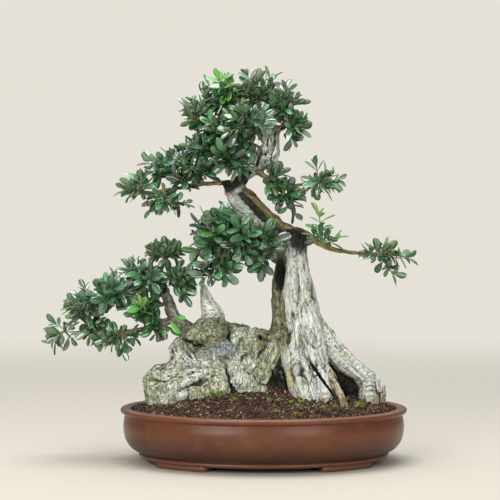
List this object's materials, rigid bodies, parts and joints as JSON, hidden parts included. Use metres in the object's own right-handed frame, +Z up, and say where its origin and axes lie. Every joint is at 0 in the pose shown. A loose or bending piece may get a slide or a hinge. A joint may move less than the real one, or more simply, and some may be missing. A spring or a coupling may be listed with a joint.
{
  "type": "olive bonsai in a pot",
  "caption": "Old olive bonsai with a flared deadwood trunk, a gnarled burl and leafy pads, standing in soil in a low oval stoneware pot on short feet.",
  "frame": {"origin": "on the surface it stands on, under the middle of the whole spread; the pot's centre is 56 mm along +X", "axes": "+Z up, -Y is the front, +X to the right seen from the front"},
  "size_m": [0.6387, 0.365, 0.6674],
  "materials": {
    "stoneware": "unglazed reddish-brown stoneware with a soft sheen",
    "granular_soil": "dark reddish-brown volcanic granules with moss flecks",
    "old_wood": "weathered grey-white deadwood with dark fissures, lichen and tan live bark",
    "leafy_sprays": "glossy dark green leaves with grey-green undersides on tan twigs",
    "drainage_screen": "black moulded plastic mesh"
  },
  "bodies": {
    "root": {"drainage_screen_left": "drainage_screen", "drainage_screen_right": "drainage_screen", "pot": "stoneware", "soil": "granular_soil", "spray_back_left": "leafy_sprays", "spray_back_right": "leafy_sprays", "spray_centre_left": "leafy_sprays", "spray_centre_low": "leafy_sprays", "spray_centre_mid": "leafy_sprays", "spray_centre_near": "leafy_sprays", "spray_centre_right": "leafy_sprays", "spray_centre_top": "leafy_sprays", "spray_crown_back": "leafy_sprays", "spray_crown_front": "leafy_sprays", "spray_crown_heart": "leafy_sprays", "spray_crown_left": "leafy_sprays", "spray_crown_left_low": "leafy_sprays", "spray_crown_low_front": "leafy_sprays", "spray_crown_low_right": "leafy_sprays", "spray_crown_peak": "leafy_sprays", "spray_crown_right": "leafy_sprays", "spray_crown_right_top": "leafy_sprays", "spray_crown_top": "leafy_sprays", "spray_crown_under": "leafy_sprays", "spray_left_inner": "leafy_sprays", "spray_left_link": "leafy_sprays", "spray_left_low": "leafy_sprays", "spray_left_outer": "leafy_sprays", "spray_left_top": "leafy_sprays", "spray_low_back": "leafy_sprays", "spray_low_fore": "leafy_sprays", "spray_low_heart": "leafy_sprays", "spray_low_inner": "leafy_sprays", "spray_low_left": "leafy_sprays", "spray_low_link": "leafy_sprays", "spray_low_mid": "leafy_sprays", "spray_low_middle": "leafy_sprays", "spray_low_right": "leafy_sprays", "spray_low_right_far": "leafy_sprays", "spray_low_right_near": "leafy_sprays", "spray_low_tip": "leafy_sprays", "spray_low_top": "leafy_sprays", "spray_low_under": "leafy_sprays", "spray_right_far": "leafy_sprays", "spray_right_near": "leafy_sprays", "trunk": "old_wood"}
  },
  "joints": []
}
